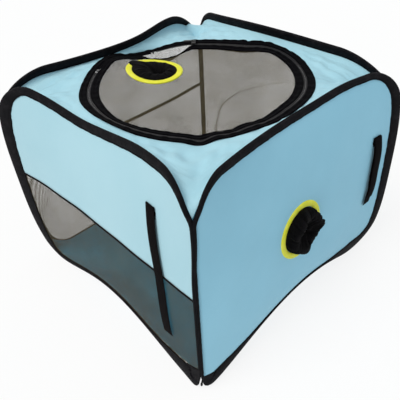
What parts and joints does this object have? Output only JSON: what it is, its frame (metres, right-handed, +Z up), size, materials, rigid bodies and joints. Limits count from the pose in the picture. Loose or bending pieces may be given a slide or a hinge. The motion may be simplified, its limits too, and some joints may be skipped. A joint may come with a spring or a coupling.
{
  "type": "folding pet drying box",
  "caption": "Fold-flat fabric cube on spring-wire hoops, with mesh walls, a zipped round mesh lid with a hand port, and a gathered dryer port in one side.",
  "frame": {"origin": "centre of the floor, on the surface that the box stands on", "axes": "+Z up, -Y out through the front wall (fabric above its seam, mesh below), +X out through the right wall (dryer port)"},
  "size_m": [0.6414, 0.6014, 0.515],
  "materials": {
    "blue_fabric": "light blue coated woven polyester, satin",
    "black_mesh": "fine black see-through polyester mesh",
    "black_binding": "black woven edge binding and tape, matt",
    "black_fabric": "thin black gathered polyester",
    "black_webbing": "black woven webbing, matt",
    "black_elastic": "black covered elastic cord",
    "yellow_binding": "bright yellow woven binding tape",
    "zip_coil": "black nylon zip coil",
    "black_metal": "black painted die-cast zinc",
    "spring_steel": "tempered spring-steel wire"
  },
  "bodies": {
    "back_wall": {"hoop_wire_back": "spring_steel", "hoop_ferrule_back": "spring_steel", "edge_binding_back": "black_binding", "back_mesh_panel": "black_mesh", "corner_seam_back_right": "black_binding", "corner_seam_back_left": "black_binding", "top_panel": "blue_fabric", "floor_panel": "blue_fabric", "zip_tape_outer": "black_binding", "zip_coil_outer": "zip_coil", "lid_hinge_tab": "black_binding", "zip_stop_start": "black_metal", "zip_stop_end": "black_metal"},
    "right_wall": {"hoop_wire_right": "spring_steel", "hoop_ferrule_right": "spring_steel", "edge_binding_right": "black_binding", "right_panel": "blue_fabric", "corner_seam_front_right": "black_binding", "dryer_port_ring": "yellow_binding", "dryer_sleeve": "black_fabric", "dryer_sleeve_elastic": "black_elastic", "right_strap_anchor": "black_webbing"},
    "front_wall": {"hoop_wire_front": "spring_steel", "hoop_ferrule_front": "spring_steel", "edge_binding_front": "black_binding", "front_upper_panel": "blue_fabric", "front_mesh_window": "black_mesh", "front_seam_tape": "black_binding", "front_strap_anchor": "black_webbing"},
    "left_wall": {"hoop_wire_left": "spring_steel", "hoop_ferrule_left": "spring_steel", "edge_binding_left": "black_binding", "left_upper_mesh": "black_mesh", "left_lower_mesh": "black_mesh", "left_cross_band": "black_binding", "corner_seam_front_left": "black_binding"},
    "lid": {"zip_tape_lid": "black_binding", "zip_coil_lid": "zip_coil", "lid_mesh": "black_mesh", "lid_port_ring": "yellow_binding", "lid_port_cuff": "black_fabric", "lid_port_elastic": "black_elastic"},
    "slider": {"zip_slider": "black_metal"},
    "pull_tab": {"zip_pull_tab": "black_metal"},
    "front_strap": {"front_strap_tail": "black_webbing"},
    "right_strap": {"right_strap_tail": "black_webbing", "right_strap_cover": "black_webbing"}
  },
  "joints": [
    {"name": "fold", "type": "hinge", "parent": "back_wall", "child": "right_wall", "pos_m": [0.29085, 0.29085, 0], "axis": [0, 0, 1], "range_deg": [0, 85], "stiffness_Nm_per_rad": 0.4, "deforming": ["top_panel", "floor_panel", "zip_tape_outer", "zip_coil_outer", "lid_hinge_tab", "zip_stop_start", "zip_stop_end", "zip_tape_lid", "zip_coil_lid", "lid_mesh", "lid_port_ring", "lid_port_cuff", "lid_port_elastic", "zip_slider", "zip_pull_tab"]},
    {"name": "front_fold", "type": "hinge", "parent": "right_wall", "child": "front_wall", "pos_m": [0.29085, -0.29085, 0], "axis": [0, 0, 1], "range_deg": [-85, 0]},
    {"name": "left_fold", "type": "hinge", "parent": "back_wall", "child": "left_wall", "pos_m": [-0.29085, 0.29085, 0], "axis": [0, 0, 1], "range_deg": [0, 85]},
    {"name": "lid_open", "type": "hinge", "parent": "back_wall", "child": "lid", "pos_m": [-0.20628, -0.02899, 0.4909], "axis": [0.1392, -0.9903, 0], "range_deg": [0, 150]},
    {"name": "zip_run", "type": "hinge", "parent": "back_wall", "child": "slider", "pos_m": [0, 0, 0.4905], "axis": [0, 0, 1], "range_deg": [-282.5, 22.5]},
    {"name": "pull_tab_swing", "type": "hinge", "parent": "slider", "child": "pull_tab", "pos_m": [-0.16684, 0.15022, 0.4945], "axis": [-0.7431, 0.6691, 0], "range_deg": [0, 150]},
    {"name": "front_strap_swing", "type": "hinge", "parent": "front_wall", "child": "front_strap", "pos_m": [0.218, -0.2974, 0.4367], "axis": [-1, 0, 0], "range_deg": [0, 120]},
    {"name": "right_strap_swing", "type": "hinge", "parent": "right_wall", "child": "right_strap", "pos_m": [0.2989, 0.238, 0.3477], "axis": [0, -1, 0], "range_deg": [0, 120]}
  ],
  "couplings": [
    {"joint": "front_fold", "follows": "fold", "ratio": -1},
    {"joint": "left_fold", "follows": "fold", "ratio": 1}
  ]
}
